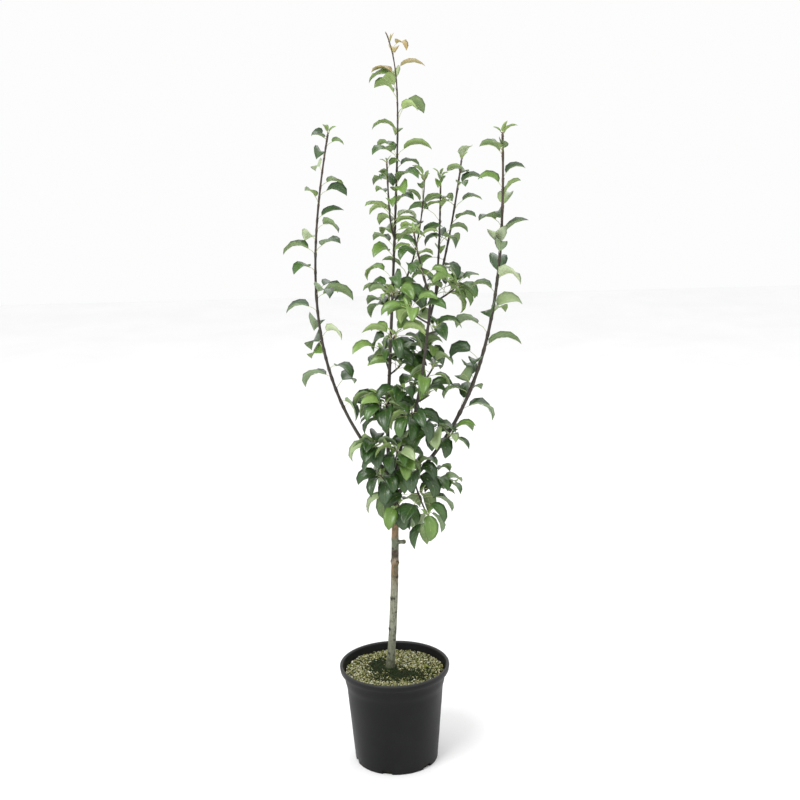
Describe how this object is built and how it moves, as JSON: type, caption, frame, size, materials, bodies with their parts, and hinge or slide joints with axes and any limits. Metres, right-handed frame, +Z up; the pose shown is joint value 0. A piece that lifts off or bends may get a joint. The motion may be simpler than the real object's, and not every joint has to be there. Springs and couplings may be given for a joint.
{
  "type": "potted pear tree",
  "caption": "Young pear tree in a round dark nursery pot: a bare slim trunk forks into upright boughs that end in leafy shoots and carry short tufts of arching leaves.",
  "frame": {"origin": "middle of the pot's flat underside", "axes": "+Z up along the pot's axis, +X to the right in the picture, -Y towards the viewer of the picture"},
  "size_m": [0.4945, 0.3091, 1.5564],
  "materials": {
    "pot_plastic": "charcoal moulded plastic with a soft sheen",
    "potting_soil": "loose bark chips, dry and pale on top, with dark gaps",
    "bark": "young bark, grey-green on the trunk and purplish brown on the boughs",
    "foliage": "glossy green leaves on thin reddish twigs"
  },
  "bodies": {
    "root": {"pot": "pot_plastic", "soil": "potting_soil", "trunk": "bark", "leader": "bark", "left_bough": "bark", "right_bough": "bark", "front_bough": "bark", "back_bough": "bark", "back_shoot": "foliage", "front_shoot": "foliage", "inner_left_shoot": "foliage", "inner_right_shoot": "foliage", "leader_shoot": "foliage", "left_shoot": "foliage", "outer_shoot": "foliage", "right_shoot": "foliage", "spur_back_a": "foliage", "spur_back_high": "foliage", "spur_back_low": "foliage", "spur_back_mid": "foliage", "spur_back_right": "foliage", "spur_fork_back": "foliage", "spur_front_a": "foliage", "spur_front_b": "foliage", "spur_front_c": "foliage", "spur_front_left": "foliage", "spur_front_low": "foliage", "spur_front_stub": "foliage", "spur_leader_a": "foliage", "spur_leader_b": "foliage", "spur_leader_c": "foliage", "spur_leader_d": "foliage", "spur_leader_e": "foliage", "spur_leader_f": "foliage", "spur_leader_g": "foliage", "spur_leader_left": "foliage", "spur_right_in": "foliage", "spur_right_low": "foliage", "spur_right_out": "foliage", "spur_trunk_left": "foliage", "twig_droop": "foliage", "twig_left_low": "foliage", "twig_right": "foliage"}
  },
  "joints": []
}
